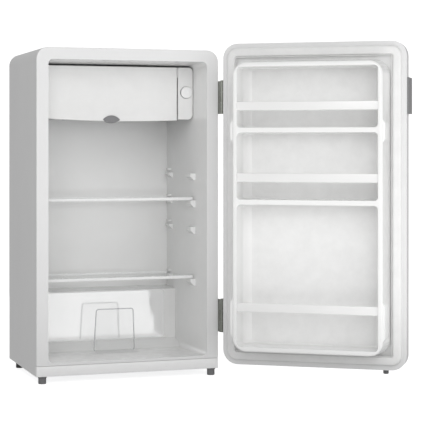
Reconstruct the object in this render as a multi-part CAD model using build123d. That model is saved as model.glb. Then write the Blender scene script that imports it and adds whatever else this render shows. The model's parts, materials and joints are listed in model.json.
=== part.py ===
from build123d import *
from math import cos, radians, sin
import os

# Free-standing mini fridge with a freezer flap, two glass shelves and a door with three pockets.
#
# Units are millimetres.  The model is laid out in the cabinet's own coordinates:
# x to the right seen from the front with 0 at the cabinet's middle, y from the cabinet's
# front face to the back, z up from the floor.  Door pieces are drawn closed and then
# swung open about the hinge pins.  At the end everything is moved so that the origin is
# the bottom centre of the whole open fridge.

# ---------------------------------------------------------------- driving dimensions
CAB_W = 474.0
CAB_H = 816.0
CAB_D = 347.0
FOOT_H = 18.0
SHEET = 1.5
CAB_CORNER_R = 30.0

CAB_X = CAB_W / 2
CAB_Z0 = FOOT_H
CAB_Z1 = FOOT_H + CAB_H
RAIL_Z1 = CAB_Z0 + 26.5
RAIL_D = 20.0
PAN_T = 1.2

OPEN_X = 207.0
OPEN_Z0 = 51.5
OPEN_Z1 = 804.5
OPEN_R = 12.0
CAVITY_D = 308.0
CAVITY_BACK_X = 194.0
CAVITY_BACK_Z1 = 789.0
LINER_T = 2.0

STEP_TOE_Y = 185.0
STEP_TOE_Z = 70.0
STEP_FACE_Y = 240.0
STEP_TOP_Z = 202.0
BAY_Y = 262.0
BAY_Z = 184.0

SHELF_FRONT_Y = 97.0
SHELF_BACK_Y = 276.0
SHELF_HALF_X = 192.0
SHELF_TRIM_HALF_X = 200.0
GLASS_T = 4.0
SHELF_GAP = 0.3
SUPPORT_TOPS = (517.0, 446.0, 377.0, 241.0)
UPPER_SHELF_Z = SUPPORT_TOPS[1] + SHELF_GAP
LOWER_SHELF_Z = SUPPORT_TOPS[3] + SHELF_GAP

FLAP_Y = 100.0
FLAP_T = 12.0
FLAP_X0 = -196.5
FLAP_X1 = 158.0
FLAP_Z0 = 655.0
FLAP_Z1 = 794.5
FLAP_BOW = 4.0
FLAP_PIN_Y = FLAP_Y + 6.0
FLAP_PIN_Z = FLAP_Z1 - 4.5
FLAP_PIN_R = 2.0
RUNNING_GAP = 0.05

HOUSING_X0 = 161.0
HOUSING_X1 = 201.5
HOUSING_Z0 = 658.0
KNOB_X = 183.0
KNOB_Z = 729.0
KNOB_R = 15.2
KNOB_PROUD = 4.5

EVAP_X0 = -190.0
EVAP_X1 = 155.0
EVAP_Y0 = 117.0
EVAP_Y1 = 296.0
EVAP_Z0 = 662.0
EVAP_Z1 = 783.0

DOOR_W = 470.0
DOOR_Z0 = 32.0
DOOR_Z1 = 850.0
DOOR_X1 = CAB_X - 0.5
DOOR_X0 = DOOR_X1 - DOOR_W
DOOR_MID_X = (DOOR_X0 + DOOR_X1) / 2
DOOR_RIM_Y = -12.0
DOOR_FACE_Y = -58.0
DOOR_CORNER_R = 38.0
DOOR_EDGE_R = 15.0
DOOR_FLANGE = 12.0
GASKET_W = 25.0

POD_X = 188.0
POD_WALL = 11.0
POD_Z0 = 77.0
POD_Z1 = 797.0
POD_Y = 76.0
POD_CORNER_R = 34.0
POCKET_BACK_Y = -16.0
POD_DRAFT = 4.5
POCKET_R = 34.0
POCKET_BACK_R = 10.0
DOOR_SHELVES = ((622.0, 634.0), (443.0, 455.0))
POD_FLOOR_Z = 89.0
POD_CEILING_Z = 786.0
BAR_BOTTOMS = (677.0, 499.0, 176.0)
BAR_H = 22.0
BAR_T = 4.0

HINGE_X = 241.3
HINGE_Y = -17.0
HINGE_R = 4.3
HINGE_PIN_R = 2.0
HINGE_H = 84.0
HINGE_BOTTOMS = (112.0, 671.0)
DOOR_OPEN_ANGLE = 145.6

COMP_X = 105.0
COMP_Y = 318.0
COMP_R = 50.0
COMP_Z0 = 34.0
COMP_Z1 = 148.0

CONDENSER_Y = 358.0
CONDENSER_TUBE_R = 2.5
CONDENSER_X = 190.0
CONDENSER_Z0 = 235.0
CONDENSER_PITCH = 60.0
CONDENSER_RUNS = 9

FOOT_X = 220.5
FOOT_Y = 10.0
FOOT_R = 9.8
FOOT_STUD_R = 3.0
REAR_FOOT_X = 220.0
REAR_FOOT_Y = 290.0
REAR_FOOT_R = 10.0

DRAIN_Y = 300.0
DRAIN_R = 6.0
SUCTION_X = 60.0
SUCTION_Z = 202.0
CAPILLARY_X = -150.0
CAPILLARY_Z = 212.0
GLAND_X = -100.0
GLAND_Z = 31.0
TRAY_BACK_Y = 376.0

STAND_Y = 163.0
STAND_T = 3.0
STAND_H = 111.0
STAND_X0 = -52.0
STAND_X1 = 61.0

HANDLE_Z0 = 669.0
HANDLE_Z1 = 759.0
HANDLE_T = 4.0
PEG_X = -178.0


# ---------------------------------------------------------------- small helpers
def block(x0, x1, y0, y1, z0, z1):
    """Box between two corners."""
    return Pos((x0 + x1) / 2, (y0 + y1) / 2, (z0 + z1) / 2) * Box(x1 - x0, y1 - y0, z1 - z0)


def rod_z(x, y, z0, z1, radius):
    """Upright cylinder."""
    return Pos(x, y, (z0 + z1) / 2) * Cylinder(radius, z1 - z0)


def rod_y(x, z, y0, y1, radius):
    """Cylinder along y."""
    return Pos(x, (y0 + y1) / 2, z) * Rot(90, 0, 0) * Cylinder(radius, y1 - y0)


def rod_x(y, z, x0, x1, radius):
    """Cylinder along x."""
    return Pos((x0 + x1) / 2, y, z) * Rot(0, 90, 0) * Cylinder(radius, x1 - x0)


def outline(x0, x1, z0, z1, r_top, r_bottom):
    """Rectangle in the x-z plane with its own radius at the top and at the bottom corners."""
    face = Pos((x0 + x1) / 2, (z0 + z1) / 2) * Rectangle(x1 - x0, z1 - z0)
    if r_top:
        face = fillet(face.vertices().group_by(Axis.Y)[-1], r_top)
    if r_bottom:
        face = fillet(face.vertices().group_by(Axis.Y)[0], r_bottom)
    return face


def prism(face, y0, y1):
    """Face of the x-z plane extruded from y0 to y1."""
    return extrude(Pos(0, y0, 0) * (Plane.XZ * face), amount=y1 - y0, dir=(0, 1, 0))


def side_prism(points, x0, x1):
    """Closed outline of (y, z) points extruded from x0 to x1."""
    wire = Polyline([(x0, y, z) for y, z in points], close=True)
    return extrude(make_face(wire), amount=x1 - x0, dir=(1, 0, 0))


def tube(points, radii, radius):
    """Round tube along straight runs that are joined by tangent arcs."""
    path = FilletPolyline(*points, radius=radii)
    start = Plane(origin=path @ 0, z_dir=path % 0)
    return sweep(start * Circle(radius), path=path)


def group(shapes):
    """Separate solids that share one node."""
    return Compound([solid for shape in shapes for solid in shape.solids()])


# ---------------------------------------------------------------- cabinet
def cabinet_section(inset):
    """Outline of the cabinet, drawn in by inset; the bottom corners are square."""
    return outline(-CAB_X + inset, CAB_X - inset, CAB_Z0, CAB_Z1 - inset, CAB_CORNER_R - inset, 0)


def cavity_block(grow):
    """The drafted inside space, grown by grow on its walls and its back."""
    z0 = OPEN_Z0 - grow
    front = outline(-OPEN_X - grow, OPEN_X + grow, z0, OPEN_Z1 + grow, OPEN_R + grow, OPEN_R + grow)
    back_x = CAVITY_BACK_X + grow
    back = outline(-back_x, back_x, z0, CAVITY_BACK_Z1 + grow, OPEN_R + grow, OPEN_R + grow)
    depth = CAVITY_D + grow
    return loft([Plane.XZ * front, Pos(0, depth, 0) * (Plane.XZ * back)])


def compressor_step(shrink):
    """Block that the liner steps over: a ramp, an upright face and a top that rises backwards."""
    toe_y = STEP_TOE_Y + shrink
    face_y = STEP_FACE_Y + shrink
    points = [
        (toe_y, OPEN_Z0 - shrink - 5),
        (toe_y, OPEN_Z0 - shrink),
        (face_y, STEP_TOE_Z - shrink),
        (face_y, STEP_TOP_Z - shrink),
        (CAVITY_D + 10, STEP_TOP_Z + 5 - shrink),
        (CAVITY_D + 10, OPEN_Z0 - shrink - 5),
    ]
    return side_prism(points, -CAB_X, CAB_X)


def shelf_support(side, top):
    """Front block, rear block and rear catch that carry one shelf on one wall."""
    wall_x = OPEN_X + 1.0
    front = block(wall_x - 18, wall_x, 84, 124, top - 18, top)
    front = chamfer(front.edges().filter_by(Axis.Y).group_by(Axis.Z)[0].sort_by(Axis.X)[0], 9)
    back = block(wall_x - 23, wall_x, 258, 292, top - 14, top)
    back = chamfer(back.edges().filter_by(Axis.Y).group_by(Axis.Z)[0].sort_by(Axis.X)[0], 9)
    catch = block(wall_x - 21, wall_x, 270, 292, top + GLASS_T + 2.5, top + GLASS_T + 7)
    support = group([front, back, catch])
    return support if side > 0 else mirror(support, about=Plane.YZ)


def make_liner():
    tub = cavity_block(LINER_T) - compressor_step(LINER_T)
    space = cavity_block(0) - compressor_step(0)
    liner = tub - space - block(-CAB_X, CAB_X, -5, SHEET, 0, CAB_Z1)
    bound = cavity_block(LINER_T * 0.5)
    for top in SUPPORT_TOPS:
        for side in (1, -1):
            for piece in shelf_support(side, top).solids():
                liner += piece & bound
    return liner, tub


def make_cabinet():
    parts = {}
    wrap = prism(cabinet_section(0), 0, CAB_D - SHEET)
    inner_face = outline(-CAB_X + SHEET, CAB_X - SHEET, 0, CAB_Z1 - SHEET, CAB_CORNER_R - SHEET, 0)
    wrap -= prism(inner_face, SHEET, CAB_D)
    wrap -= prism(outline(-OPEN_X, OPEN_X, OPEN_Z0, OPEN_Z1, OPEN_R, OPEN_R), -1, SHEET + 1)
    wrap -= block(-CAB_X, CAB_X, -1, RAIL_D, CAB_Z0 - 1, RAIL_Z1)
    front_edges = wrap.edges().filter_by_position(Axis.Y, -0.01, 0.01)
    outer = [e for e in front_edges if e.center().X < -CAB_X + 1 or e.center().X > CAB_X - 1]
    parts["cabinet_shell"] = fillet(outer, 1.2)

    rail = block(-CAB_X, CAB_X, 0, RAIL_D, CAB_Z0, RAIL_Z1 - 0.8)
    rail -= block(-CAB_X + SHEET, CAB_X - SHEET, SHEET, RAIL_D - SHEET, CAB_Z0 - 1, RAIL_Z1 - 2.5)
    for x in (-FOOT_X, FOOT_X):
        rail += block(x - 14, x + 14, SHEET, RAIL_D - SHEET, CAB_Z0, CAB_Z0 + 3)
        rail -= rod_z(x, FOOT_Y, CAB_Z0 - 1, CAB_Z0 + 4, FOOT_STUD_R + RUNNING_GAP)
    parts["bottom_front_rail"] = fillet(rail.edges().filter_by(Axis.Z).group_by(Axis.Y)[0], 1.0)

    liner, tub = make_liner()
    parts["liner"] = liner

    inner_x = CAB_X - SHEET
    pan_points = [
        (RAIL_D, CAB_Z0), (BAY_Y + PAN_T, CAB_Z0), (BAY_Y + PAN_T, BAY_Z), (CAB_D - SHEET, BAY_Z),
        (CAB_D - SHEET, BAY_Z + PAN_T), (BAY_Y, BAY_Z + PAN_T), (BAY_Y, CAB_Z0 + PAN_T),
        (RAIL_D, CAB_Z0 + PAN_T),
    ]
    parts["base_pan"] = side_prism(pan_points, -inner_x, inner_x)

    foam_face = outline(-inner_x, inner_x, CAB_Z0 + PAN_T, CAB_Z1 - SHEET, CAB_CORNER_R - SHEET, 0)
    foam = prism(foam_face, SHEET, CAB_D - SHEET)
    foam -= tub
    foam -= block(-CAB_X, CAB_X, BAY_Y, CAB_D, 0, BAY_Z + PAN_T)
    foam -= block(-CAB_X, CAB_X, 0, RAIL_D, 0, RAIL_Z1)
    parts["cabinet_foam"] = foam

    back = prism(outline(-CAB_X, CAB_X, BAY_Z, CAB_Z1, CAB_CORNER_R, 0), CAB_D - SHEET, CAB_D)
    for x, z in ((CAPILLARY_X, CAPILLARY_Z), (SUCTION_X, SUCTION_Z)):
        back -= rod_y(x, z, CAB_D - 5, CAB_D + 5, 5)
        parts["cabinet_foam"] -= rod_y(x, z, CAB_D - 12, CAB_D, 5)
    parts["back_panel"] = back
    drain = rod_z(COMP_X, DRAIN_Y, BAY_Z - 5, STEP_TOP_Z + 8, DRAIN_R)
    parts["base_pan"] -= drain
    parts["cabinet_foam"] -= drain
    parts["liner"] -= rod_z(COMP_X, DRAIN_Y, BAY_Z, STEP_TOP_Z + 8, DRAIN_R - 2)
    return parts


# ---------------------------------------------------------------- feet and tray
def make_feet():
    parts = {}
    for name, x in (("front_foot_left", -FOOT_X), ("front_foot_right", FOOT_X)):
        pad = rod_z(x, FOOT_Y, 0, FOOT_H - 2.5, FOOT_R)
        pad = chamfer(pad.edges().sort_by(Axis.Z)[0], 1.0)
        washer = rod_z(x, FOOT_Y, FOOT_H - 2.5, FOOT_H - 1.0, FOOT_R + 1.6)
        parts[name] = pad + washer + rod_z(x, FOOT_Y, FOOT_H - 1.0, FOOT_H + 17.0, FOOT_STUD_R)
    rear = []
    for x in (-REAR_FOOT_X, REAR_FOOT_X):
        foot = rod_z(x, REAR_FOOT_Y, 0, CAB_Z0, REAR_FOOT_R)
        rear.append(chamfer(foot.edges().sort_by(Axis.Z)[0], 1.0))
    parts["rear_feet"] = group(rear)

    tray = block(-CAB_X + SHEET, CAB_X - SHEET, BAY_Y + PAN_T, CAB_D, CAB_Z0, CAB_Z0 + 2)
    tray += block(-206, 206, CAB_D, TRAY_BACK_Y, CAB_Z0, CAB_Z0 + 2)
    tray += block(-206, 206, TRAY_BACK_Y - 2, TRAY_BACK_Y, CAB_Z0 + 2, CAB_Z0 + 24)
    tray -= rod_y(GLAND_X, GLAND_Z, TRAY_BACK_Y - 5, TRAY_BACK_Y + 5, 5)
    parts["compressor_tray"] = tray

    gland = rod_y(GLAND_X, GLAND_Z, TRAY_BACK_Y - 5, TRAY_BACK_Y + 3, 5)
    gland += rod_y(GLAND_X, GLAND_Z, TRAY_BACK_Y, TRAY_BACK_Y + 3, 8)
    gland += rod_y(GLAND_X, GLAND_Z, TRAY_BACK_Y - 5, TRAY_BACK_Y - 2, 8)
    parts["cord_gland"] = gland - rod_y(GLAND_X, GLAND_Z, TRAY_BACK_Y - 9, TRAY_BACK_Y + 9, 3.6)
    return parts


# ---------------------------------------------------------------- cooling circuit
def make_compressor():
    parts = {}
    pot = rod_z(COMP_X, COMP_Y, COMP_Z0, COMP_Z1, COMP_R)
    pot = fillet(pot.edges().group_by(Axis.Z)[-1], 30)
    pot = fillet(pot.edges().group_by(Axis.Z)[0], 18)
    pot += rod_z(COMP_X, COMP_Y, 96, 100, COMP_R + 2)
    parts["compressor_pot"] = pot

    tray_z = CAB_Z0 + 2
    plate = block(COMP_X - 78, COMP_X + 78, COMP_Y - 40, COMP_Y + 40, tray_z + 10, COMP_Z0)
    plate = fillet(plate.edges().filter_by(Axis.Z), 10)
    grommets, bolts = [], []
    for x in (COMP_X - 66, COMP_X + 66):
        for y in (COMP_Y - 29, COMP_Y + 29):
            plate -= rod_z(x, y, 0, 60, 4)
            grommets.append(rod_z(x, y, tray_z, tray_z + 10, 8) - rod_z(x, y, 0, 60, 4))
            bolts.append(rod_z(x, y, tray_z, COMP_Z0, 3.5) + rod_z(x, y, COMP_Z0, COMP_Z0 + 4, 6))
    parts["compressor_plate"] = plate
    parts["compressor_grommets"] = group(grommets)
    parts["compressor_bolts"] = group(bolts)

    relay = block(COMP_X - COMP_R - 28, COMP_X - COMP_R + 8, COMP_Y - 26, COMP_Y + 14, 60, 92)
    relay = fillet(relay.edges().group_by(Axis.X)[0], 4)
    parts["start_relay_cover"] = relay - pot

    pan_z = COMP_Z1 + 0.2
    pan = block(COMP_X - 62, COMP_X + 62, COMP_Y - 42, COMP_Y + 32, pan_z, pan_z + 14)
    pan = fillet(pan.edges().filter_by(Axis.Z), 12)
    hollow = block(COMP_X - 60, COMP_X + 60, COMP_Y - 40, COMP_Y + 30, pan_z + 2, pan_z + 20)
    parts["evaporating_pan"] = pan - fillet(hollow.edges().filter_by(Axis.Z), 10)
    drain = rod_z(COMP_X, DRAIN_Y, pan_z + 5, STEP_TOP_Z + 0.5, DRAIN_R)
    parts["drain_tube"] = drain - rod_z(COMP_X, DRAIN_Y, 0, CAB_Z1, DRAIN_R - 2)
    return parts


def make_condenser(pot):
    parts = {}
    points = []
    for run in range(CONDENSER_RUNS):
        z = CONDENSER_Z0 + run * CONDENSER_PITCH
        side = 1 if run % 2 == 0 else -1
        points += [(side * CONDENSER_X, CONDENSER_Y, z), (-side * CONDENSER_X, CONDENSER_Y, z)]
    parts["condenser_tube"] = tube(points, 20, CONDENSER_TUBE_R)

    top_z = CONDENSER_Z0 + (CONDENSER_RUNS - 1) * CONDENSER_PITCH
    wire_y = CONDENSER_Y + CONDENSER_TUBE_R + 0.8
    wires = [rod_z(x, wire_y, CONDENSER_Z0 - 14, top_z + 14, 0.8) for x in range(-161, 162, 14)]
    parts["condenser_wires"] = group(wires)

    clips = []
    for x in (-126, 126):
        for z in (CONDENSER_Z0, top_z):
            clip = block(x - 5, x + 5, CAB_D, CONDENSER_Y, z - 7, z + 7)
            clips.append(clip - rod_x(CONDENSER_Y, z, x - 10, x + 10, CONDENSER_TUBE_R))
    parts["condenser_clips"] = group(clips)

    out_x = CONDENSER_X + 22
    parts["discharge_tube"] = tube(
        [(COMP_X + 40, 335, 112), (out_x, 335, 112), (out_x, CONDENSER_Y, 112),
         (out_x, CONDENSER_Y, CONDENSER_Z0), (CONDENSER_X, CONDENSER_Y, CONDENSER_Z0)],
        10, CONDENSER_TUBE_R) - pot
    parts["liquid_tube"] = tube(
        [(-CONDENSER_X, CONDENSER_Y, top_z), (-out_x, CONDENSER_Y, top_z), (-out_x, CONDENSER_Y, 140)],
        12, CONDENSER_TUBE_R)
    dryer = rod_z(-out_x, CONDENSER_Y, 74, 140, 8)
    dryer = fillet(dryer.edges().group_by(Axis.Z)[-1], 5)
    parts["filter_dryer"] = fillet(dryer.edges().group_by(Axis.Z)[0], 5)
    parts["capillary_tube"] = tube(
        [(-out_x, CONDENSER_Y, 74), (-out_x, CONDENSER_Y, 50), (CAPILLARY_X, CONDENSER_Y, 50),
         (CAPILLARY_X, CONDENSER_Y, CAPILLARY_Z), (CAPILLARY_X, CAB_D - 10, CAPILLARY_Z)],
        9, 1.3)
    parts["suction_tube"] = tube(
        [(SUCTION_X, CAB_D - 10, SUCTION_Z), (SUCTION_X, CONDENSER_Y, SUCTION_Z),
         (SUCTION_X, CONDENSER_Y, 112), (SUCTION_X, COMP_Y + 14, 112)],
        9, 3.2) - pot
    return parts


# ---------------------------------------------------------------- freezer box, flap, thermostat
def make_freezer():
    parts = {}
    box = block(EVAP_X0, EVAP_X1, EVAP_Y0, EVAP_Y1, EVAP_Z0, EVAP_Z1)
    box = fillet(box.edges().filter_by(Axis.Y), 10)
    hollow = block(EVAP_X0 + 2, EVAP_X1 - 2, EVAP_Y0 - 1, EVAP_Y1 - 2, EVAP_Z0 + 2, EVAP_Z1 - 2)
    box -= fillet(hollow.edges().filter_by(Axis.Y), 8)
    below = block(-CAB_X, CAB_X, 0, CAB_D, EVAP_Z0 - 6, EVAP_Z0)
    for x in range(-150, 121, 45):
        box += rod_y(x, EVAP_Z0 - 1.2, EVAP_Y0 + 12, EVAP_Y1 - 12, 3) & below
    parts["evaporator_box"] = box

    hangers = []
    for x in (-140, 105):
        for y in (150, 265):
            ceiling = OPEN_Z1 - (OPEN_Z1 - CAVITY_BACK_Z1) * (y + 6) / CAVITY_D
            hangers.append(rod_z(x, y, EVAP_Z1, ceiling - 0.4, 5))
    parts["evaporator_hangers"] = group(hangers)

    plates = []
    for x0, x1, pin0, pin1 in (
        (FLAP_X0 - 2.6, FLAP_X0 - 0.8, FLAP_X0 - 2.6, FLAP_X0 + 7),
        (FLAP_X1 + 0.8, FLAP_X1 + 2.4, FLAP_X1 - 7, FLAP_X1 + 2.4),
    ):
        plate = block(x0, x1, FLAP_PIN_Y - 4, EVAP_Y0 + 12, FLAP_PIN_Z - 22, FLAP_PIN_Z + 3)
        inner_x = EVAP_X0 if x0 < 0 else EVAP_X1
        low, high = sorted((x0 if x0 < 0 else x1, inner_x))
        tab = block(low, high, EVAP_Y0 + 2, EVAP_Y0 + 12, FLAP_PIN_Z - 22, FLAP_PIN_Z - 14)
        plates.append(plate + tab + rod_x(FLAP_PIN_Y, FLAP_PIN_Z, pin0, pin1, FLAP_PIN_R))
    parts["flap_pivot_plates"] = group(plates)

    mid_x = (FLAP_X0 + FLAP_X1) / 2
    edges = Line((FLAP_X0, FLAP_Z1), (FLAP_X1, FLAP_Z1)) + Line((FLAP_X1, FLAP_Z1), (FLAP_X1, FLAP_Z0 + 1))
    low_left = (FLAP_X0, FLAP_Z0 + FLAP_BOW)
    edges += ThreePointArc((FLAP_X1, FLAP_Z0 + 1), (mid_x, FLAP_Z0 - FLAP_BOW / 2), low_left)
    edges += Line(low_left, (FLAP_X0, FLAP_Z1))
    flap = prism(make_face(edges), FLAP_Y, FLAP_Y + FLAP_T)
    front = flap.edges().group_by(Axis.Y)[0].sort_by(Axis.Z)
    flap = fillet(front[1:], 2.0)
    hollow = block(FLAP_X0 + 10, FLAP_X1 - 10, FLAP_Y + 3, FLAP_Y + FLAP_T + 1, FLAP_Z0 + 22, FLAP_Z1 - 14)
    flap -= fillet(hollow.edges().filter_by(Axis.Y), 6)
    flap -= rod_x(FLAP_PIN_Y, FLAP_PIN_Z, FLAP_X0 - 1, FLAP_X0 + 8, FLAP_PIN_R + RUNNING_GAP)
    flap -= rod_x(FLAP_PIN_Y, FLAP_PIN_Z, FLAP_X1 - 8, FLAP_X1 + 1, FLAP_PIN_R + RUNNING_GAP)

    lens = ThreePointArc((mid_x - 22.5, 656.5), (mid_x, 667.5), (mid_x + 22.5, 656.5))
    lens += ThreePointArc((mid_x + 22.5, 656.5), (mid_x, 648), (mid_x - 22.5, 656.5))
    grip = prism(make_face(lens), FLAP_Y - 3, FLAP_Y + FLAP_T - 2)
    parts["freezer_flap"] = flap - grip
    parts["flap_grip"] = fillet(grip.edges().group_by(Axis.Y)[0], 1.2)
    return parts


def make_thermostat():
    parts = {}
    face = outline(HOUSING_X0, HOUSING_X1, HOUSING_Z0, FLAP_Z1, 0, 0)
    right = face.vertices().group_by(Axis.X)[-1].sort_by(Axis.Y)
    face = fillet(right[-1], 11)
    face = fillet(face.vertices().group_by(Axis.X)[-1].sort_by(Axis.Y)[0], 14)
    housing = prism(face, FLAP_Y, 140)
    housing = fillet(housing.edges().group_by(Axis.Y)[0], 1.5) & cavity_block(-0.4)
    housing -= block(HOUSING_X0 + 2, HOUSING_X1 - 2.5, FLAP_Y + 2.5, 141, HOUSING_Z0 + 16, FLAP_Z1 - 13)
    housing -= rod_y(KNOB_X, KNOB_Z, FLAP_Y - 1, FLAP_Y + 4, KNOB_R + 1.1)
    parts["thermostat_housing"] = housing

    body = block(KNOB_X - 13, KNOB_X + 11, FLAP_Y + 3, 136, KNOB_Z - 20, KNOB_Z + 20)
    body -= rod_y(KNOB_X, KNOB_Z, FLAP_Y, FLAP_Y + 16, 3 + RUNNING_GAP)
    parts["thermostat_body"] = fillet(body.edges().group_by(Axis.Y)[-1], 3)
    parts["thermostat_feeler"] = tube(
        [
            (KNOB_X, 136, KNOB_Z), (KNOB_X, 190, KNOB_Z),
            (EVAP_X1 + 1.2, 190, KNOB_Z), (EVAP_X1 + 1.2, 270, KNOB_Z),
        ],
        10, 1.2)

    knob = rod_y(KNOB_X, KNOB_Z, FLAP_Y - KNOB_PROUD, FLAP_Y + 1.2, KNOB_R)
    knob = fillet(knob.edges().group_by(Axis.Y)[0], 1.5)
    top = FLAP_Y - KNOB_PROUD
    knob -= block(KNOB_X - 0.9, KNOB_X + 0.9, top - 1, top + 1, KNOB_Z - KNOB_R, KNOB_Z - 6)
    for turn in range(24):
        angle = radians(turn * 360 / 24)
        x = KNOB_X + (KNOB_R + 0.6) * cos(angle)
        z = KNOB_Z + (KNOB_R + 0.6) * sin(angle)
        knob -= rod_y(x, z, FLAP_Y - 2.5, FLAP_Y + 2, 1.2)
    parts["thermostat_knob"] = knob + rod_y(KNOB_X, KNOB_Z, FLAP_Y + 1.2, FLAP_Y + 15, 3)
    return parts


# ---------------------------------------------------------------- shelves and bottle stand
def make_shelf(z):
    """Glass pane with a front and a rear trim, lying on supports whose tops are just under z."""
    glass = block(-SHELF_HALF_X, SHELF_HALF_X, SHELF_FRONT_Y + 1.5, SHELF_BACK_Y - 1.5, z, z + GLASS_T)
    glass = fillet(glass.edges().filter_by(Axis.Z), 4)
    front = block(-SHELF_TRIM_HALF_X, SHELF_TRIM_HALF_X, SHELF_FRONT_Y - 2, SHELF_FRONT_Y + 9, z, z + 8.5)
    front = fillet(front.edges().filter_by(Axis.X).group_by(Axis.Y)[0], 2.4)
    rear = block(-SHELF_HALF_X + 10, SHELF_HALF_X - 10, SHELF_BACK_Y - 7, SHELF_BACK_Y, z, z + 6)
    return glass - front - rear, front, rear


def make_step_panel():
    """Glossy facing on the front of the step over the compressor."""
    face = outline(-194, 165, STEP_TOE_Z + 2.5, STEP_TOP_Z - 2, 5, 5)
    panel = prism(face, STEP_FACE_Y - 2.2, STEP_FACE_Y)
    return fillet(panel.edges().group_by(Axis.Y)[0], 0.8)


def make_bottle_stand():
    y0, y1 = STAND_Y - STAND_T / 2, STAND_Y + STAND_T / 2
    z0 = OPEN_Z0 + SHELF_GAP

    def upright(inset):
        low = Polyline(
            (STAND_X0 + inset, z0), (STAND_X0 + 7 + inset, z0 + STAND_H - inset),
            (STAND_X1 - 4 - inset, z0 + STAND_H - inset), (STAND_X1 - inset, z0), close=True)
        face = make_face(low)
        return fillet(face.vertices().group_by(Axis.Y)[-1], 7)

    rim = prism(upright(0), y0 - 2.5, y1) - prism(upright(4.5), y0 - 5, y0)
    foot = block(STAND_X0, STAND_X1, STAND_Y - 48, y0, z0, z0 + 2)
    foot = fillet(foot.edges().filter_by(Axis.Z).group_by(Axis.Y)[0], 8)
    return rim + foot


# ---------------------------------------------------------------- door, drawn closed
def door_section(inset):
    r = DOOR_CORNER_R - inset
    return outline(DOOR_X0 + inset, DOOR_X1 - inset, DOOR_Z0 + inset, DOOR_Z1 - inset, r, r)


def door_body(inset):
    """The door's outer form, or the space inside its skin, with its rounded front edge."""
    body = prism(door_section(inset), DOOR_FACE_Y + inset, DOOR_RIM_Y - inset)
    return fillet(body.edges().group_by(Axis.Y)[0], DOOR_EDGE_R - inset)


def pocket(z0, z1):
    """One pocket of the door liner: open to the inside, rounded where its sides meet its back."""
    half = POD_X - POD_WALL
    space = block(DOOR_MID_X - half, DOOR_MID_X + half, POCKET_BACK_Y, POD_Y + 5, z0, z1)
    space = fillet(space.edges().filter_by(Axis.Z).group_by(Axis.Y)[0], POCKET_R)
    return fillet(space.edges().group_by(Axis.Y)[0], POCKET_BACK_R)


def make_door_liner():
    pod_face = outline(DOOR_MID_X - POD_X, DOOR_MID_X + POD_X, POD_Z0, POD_Z1, POD_CORNER_R, POD_CORNER_R)
    crest = Pos(0, POD_Y, 0) * (Plane.XZ * pod_face)
    solid_pod = extrude(crest, amount=POD_Y - POCKET_BACK_Y + 2.5, dir=(0, -1, 0), taper=-POD_DRAFT)
    pod = fillet(solid_pod.edges().group_by(Axis.Y)[-1], 5)
    for side in (-1, 1):
        for z0, z1 in ((601, 649), (116, 204)):
            x = DOOR_MID_X + side * (POD_X - 1)
            far = x + side * 7
            corners = [(x, z0 - 6), (far, z0 + 5), (far, z1 - 5), (x, z1 + 6)]
            pad = prism(make_face(Polyline(corners, close=True)), DOOR_RIM_Y, POD_Y - 3)
            pod += pad
    high, low = DOOR_SHELVES
    bounds = [POD_FLOOR_Z, low[0], low[1], high[0], high[1], POD_CEILING_Z]
    liner = pod
    for low, high in zip(bounds[::2], bounds[1::2]):
        liner -= pocket(low, high)
    rib = block(DOOR_MID_X - 25, DOOR_MID_X - 15, POCKET_BACK_Y - 1, POCKET_BACK_Y + 4, POD_FLOOR_Z - 1, 433)
    liner += fillet(rib.edges().filter_by(Axis.Z).group_by(Axis.Y)[-1], 3)
    sheet = prism(door_section(DOOR_FLANGE), DOOR_RIM_Y - SHEET, DOOR_RIM_Y)
    liner += sheet - prism(pod_face, DOOR_RIM_Y - 5, DOOR_RIM_Y + 5)
    return liner, solid_pod


def ring(inset_a, inset_b, y0, y1):
    return prism(door_section(inset_a), y0, y1) - prism(door_section(inset_b), y0 - 1, y1 + 1)


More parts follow.
